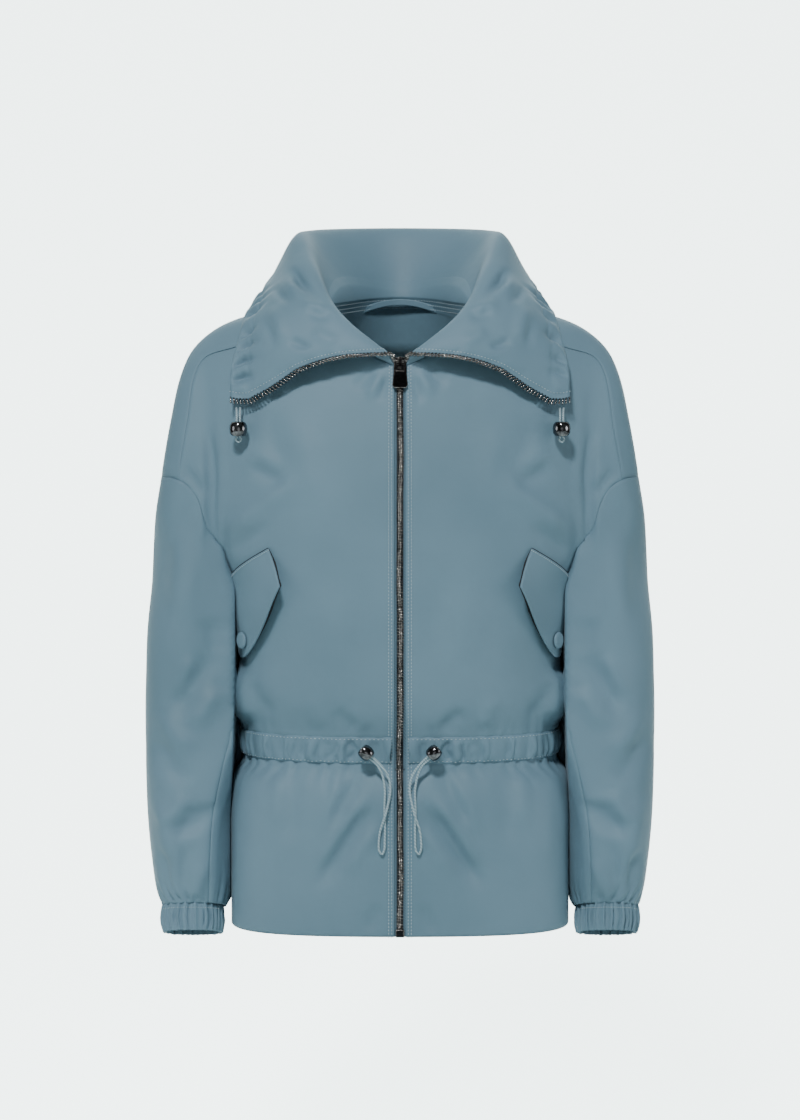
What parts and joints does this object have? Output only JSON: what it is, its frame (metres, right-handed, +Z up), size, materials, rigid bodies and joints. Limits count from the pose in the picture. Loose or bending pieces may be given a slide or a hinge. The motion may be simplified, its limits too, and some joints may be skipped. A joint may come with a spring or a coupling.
{
  "type": "parka",
  "caption": "Short parka in its worn form with a wide fold-over zip collar, slanted pocket flaps, a cord casing at the waist and gathered cuffs; hollow, open at neck, hem and cuffs.",
  "frame": {"origin": "middle of the neck at shoulder height, where the wearer's shoulders carry the parka", "axes": "+Z up, the front with the zip faces -Y, the wearer's left is +X"},
  "size_m": [0.509, 0.2382, 0.7095],
  "materials": {
    "cloth": "smooth close-woven polyester with a soft sheen",
    "zip_tape": "woven tape",
    "black_nickel": "black nickel plating",
    "elastic_cord": "braided elastic cord"
  },
  "bodies": {
    "garment": {"front_left": "cloth", "front_right": "cloth", "back": "cloth", "sleeve_left": "cloth", "sleeve_right": "cloth", "cuff_left": "cloth", "cuff_right": "cloth", "collar": "cloth", "waist_casing": "cloth", "flap_left": "cloth", "flap_right": "cloth", "snap_left": "cloth", "snap_right": "cloth", "hanger_loop": "cloth", "zip_chain": "black_nickel", "zip_box": "black_nickel", "zip_slider": "black_nickel", "zip_half_left": "black_nickel", "zip_half_right": "black_nickel", "zip_tape_left": "zip_tape", "zip_tape_right": "zip_tape", "waist_cord_left": "elastic_cord", "waist_cord_right": "elastic_cord", "waist_bead_left": "black_nickel", "waist_bead_right": "black_nickel", "collar_cord_left": "elastic_cord", "collar_cord_right": "elastic_cord", "collar_bead_left": "black_nickel", "collar_bead_right": "black_nickel"},
    "pull_tab": {"zip_pull": "black_nickel"}
  },
  "joints": [
    {"name": "pull_tab_hinge", "type": "hinge", "parent": "garment", "child": "pull_tab", "pos_m": [0, -0.09221, -0.05116], "axis": [-1, 0, 0], "range_deg": [0, 120]}
  ]
}
